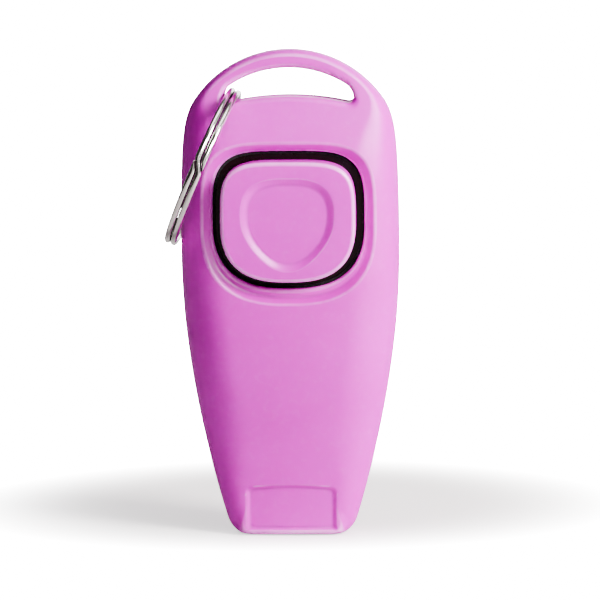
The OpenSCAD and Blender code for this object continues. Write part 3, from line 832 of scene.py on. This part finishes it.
def floor():
    n, rings_n = 96, 40
    V, F = [(0.0, 0.0, 0.0)], []
    for i in range(rings_n):
        r = 1200.0 * ((i + 1) / rings_n) ** 2
        for j in range(n):
            a = 2 * math.pi * j / n
            V.append((r * math.cos(a), r * math.sin(a), -0.01))
    V[0] = (0.0, 0.0, -0.01)
    for i in range(rings_n - 1):
        for j in range(n):
            a, b = 1 + i * n + j, 1 + i * n + (j + 1) % n
            F.append((a, a + n, b + n, b))
    quads = np.array(F)
    me = bpy.data.meshes.new("floor")
    tri = [(0, 1 + j, 1 + (j + 1) % n) for j in range(n)]
    me.from_pydata([(x * MM, y * MM, z * MM) for x, y, z in V], [], [tuple(q) for q in quads] + tri)
    me.update()
    ob = bpy.data.objects.new("floor", me)
    S.collection.objects.link(ob)
    T = Tree("floor_white")
    T.b.inputs["Base Color"].default_value = (0.78, 0.765, 0.755, 1)
    T.b.inputs["Roughness"].default_value = 0.55
    sheet = T.mix(T.ramp(T.noise(9.0, 3.0), 0, 1, 0.35, 0.65), (0.735, 0.69, 0.675, 1), (0.68, 0.64, 0.63, 1))
    # the sheet throws back less light on the object than it shows to the viewer
    T.put(T.b.inputs["Base Color"], T.mix(T.node("ShaderNodeLightPath").outputs["Is Camera Ray"], (0.62, 0.60, 0.605, 1), sheet))
    em = T.node("ShaderNodeEmission")
    em.inputs["Strength"].default_value = WHITE
    em.inputs["Color"].default_value = (1, 1, 1, 1)
    # painted shadow: a soft grey pool behind the object, seen from the viewer; the sheet is burnt out to white
    # everywhere else
    def vec(op, a, b=None):
        n = T.node("ShaderNodeVectorMath")
        n.operation = op
        T.put(n.inputs[0], a)
        if b is not None:
            T.put(n.inputs[1], b)
        return n.outputs["Value"] if op in ("LENGTH", "DOT_PRODUCT") else n.outputs["Vector"]

    back_to = T.node("ShaderNodeNewGeometry").outputs["Incoming"]
    toward = vec("NORMALIZE", vec("MULTIPLY", back_to, (1.0, 1.0, 0.0)))
    flat = vec("MULTIPLY", T.co, (1.0, 1.0, 0.0))
    along = vec("DOT_PRODUCT", flat, toward)
    aside = T.math("SQRT", T.math("MAXIMUM", T.math("SUBTRACT", vec("DOT_PRODUCT", flat, flat), T.math("MULTIPLY", along, along)), 0.0))
    along = T.math("ADD", along, 0.025)
    aside = T.math("MULTIPLY", aside, 0.75)
    reach = T.math("SQRT", T.math("ADD", T.math("MULTIPLY", along, along), T.math("MULTIPLY", aside, aside)))
    rise = T.ramp(reach, 0.0, 1.0, 0.016, 0.056)
    fade = T.math("ADD", T.math("MULTIPLY", T.math("POWER", rise, 3.0), 0.97), 0.03)
    sm = T.math("MULTIPLY", fade, T.node("ShaderNodeLightPath").outputs["Is Camera Ray"])
    # from below the sheet is clear, so that the underside can be looked at
    clear = T.node("ShaderNodeBsdfTransparent")
    below = T.node("ShaderNodeNewGeometry").outputs["Backfacing"]
    mixs = T.node("ShaderNodeMixShader")
    T.put(mixs.inputs[0], sm)
    T.put(mixs.inputs[1], T.b.outputs[0])
    T.put(mixs.inputs[2], em.outputs[0])
    out = [x for x in T.t.nodes if x.type == "OUTPUT_MATERIAL"][0]
    onesided = T.node("ShaderNodeMixShader")
    T.put(onesided.inputs[0], below)
    T.put(onesided.inputs[1], mixs.outputs[0])
    T.put(onesided.inputs[2], clear.outputs[0])
    T.put(out.inputs["Surface"], onesided.outputs[0])
    me.materials.append(T.m)
    return ob


floor()


def area(name, loc, target, size, power, color=(1, 1, 1), size_y=None, spread=None):
    l = bpy.data.lights.new(name, "AREA")
    l.energy = power
    l.color = color
    l.size = size
    if size_y:
        l.shape = "RECTANGLE"
        l.size_y = size_y
    if spread:
        l.spread = math.radians(spread)
    o = bpy.data.objects.new(name, l)
    S.collection.objects.link(o)
    o.location = loc
    o.rotation_euler = (Vector(target) - Vector(loc)).to_track_quat("-Z", "Y").to_euler()
    return o


mid = (0.0, 0.0, 0.040)
area("key", (0.38, -0.24, 0.26), (0, 0, 0.045), 0.14, 5.5, (1.0, 0.985, 0.97), 0.22)
area("top", (0.05, -0.05, 0.42), (0, 0, 0.06), 0.30, 0.5, (1.0, 1.0, 1.0), 0.20)
fill = area("front_fill", (0.26, -0.56, 0.16), (0, 0, 0.04), 0.5, 0.22, (1.0, 0.98, 0.99), 0.5)
# a narrow white card in front and a dark wall round it, seen only in the metal's and the plastic's shine
card = area("card", (0.03, -0.60, 0.10), (0, 0, 0.05), 0.16, 0.30, (1.0, 1.0, 1.0), 0.5)
card.visible_diffuse = False
shine = area("shine", (0.22, -0.42, 0.28), (0.01, 0, 0.06), 0.16, 3.4, (1.0, 0.995, 1.0), 0.16)
shine.visible_diffuse = False
fill.visible_glossy = False
area("left_rim", (-0.36, 0.12, 0.10), (0, 0, 0.05), 0.10, 0.045, (1.0, 0.97, 0.99), 0.30)

area("back_fill", (0.04, 0.62, 0.20), (0, 0, 0.04), 0.5, 1.5, (1.0, 0.99, 1.0), 0.4)

world = bpy.data.worlds.new("studio")
S.world = world
world.use_nodes = True
wt = world.node_tree
wt.nodes.clear()
w_out = wt.nodes.new("ShaderNodeOutputWorld")
w_cam = wt.nodes.new("ShaderNodeBackground")
w_cam.inputs["Color"].default_value = (1, 1, 1, 1)
w_cam.inputs["Strength"].default_value = WHITE
w_env = wt.nodes.new("ShaderNodeBackground")
w_co = wt.nodes.new("ShaderNodeTexCoord")
w_sep = wt.nodes.new("ShaderNodeSeparateXYZ")
wt.links.new(w_co.outputs["Generated"], w_sep.inputs[0])
w_rx = wt.nodes.new("ShaderNodeMapRange")
w_rx.inputs["From Min"].default_value = -0.75
w_rx.inputs["From Max"].default_value = 0.85
w_rx.inputs["To Min"].default_value = 0.03
w_rx.inputs["To Max"].default_value = 0.60
wt.links.new(w_sep.outputs[0], w_rx.inputs["Value"])
wt.links.new(w_rx.outputs[0], w_env.inputs["Strength"])
w_env.inputs["Color"].default_value = (1.0, 0.985, 0.995, 1)
w_lp = wt.nodes.new("ShaderNodeLightPath")
w_mix = wt.nodes.new("ShaderNodeMixShader")
wt.links.new(w_lp.outputs["Is Camera Ray"], w_mix.inputs[0])
wt.links.new(w_env.outputs[0], w_mix.inputs[1])
wt.links.new(w_cam.outputs[0], w_mix.inputs[2])
wt.links.new(w_mix.outputs[0], w_out.inputs[0])

cam_d = bpy.data.cameras.new("camera")
cam = bpy.data.objects.new("camera", cam_d)
S.collection.objects.link(cam)
AZ, EL, DIST = 2.5, 8.0, 0.62
aim = Vector((0.0015, 0.0, 0.0387))
d = Vector((math.sin(math.radians(AZ)) * math.cos(math.radians(EL)), -math.cos(math.radians(AZ)) * math.cos(math.radians(EL)), math.sin(math.radians(EL))))
cam.location = aim + d * DIST
quat = (aim - cam.location).to_track_quat("-Z", "Y")
cam.rotation_euler = quat.to_euler()
cam.rotation_euler.rotate_axis("Z", math.radians(-0.5))
cam_d.sensor_width = 36.0
cam_d.lens = 36.0 * DIST / 0.0985
cam_d.clip_start = 0.01
cam_d.clip_end = 20.0
S.camera = cam
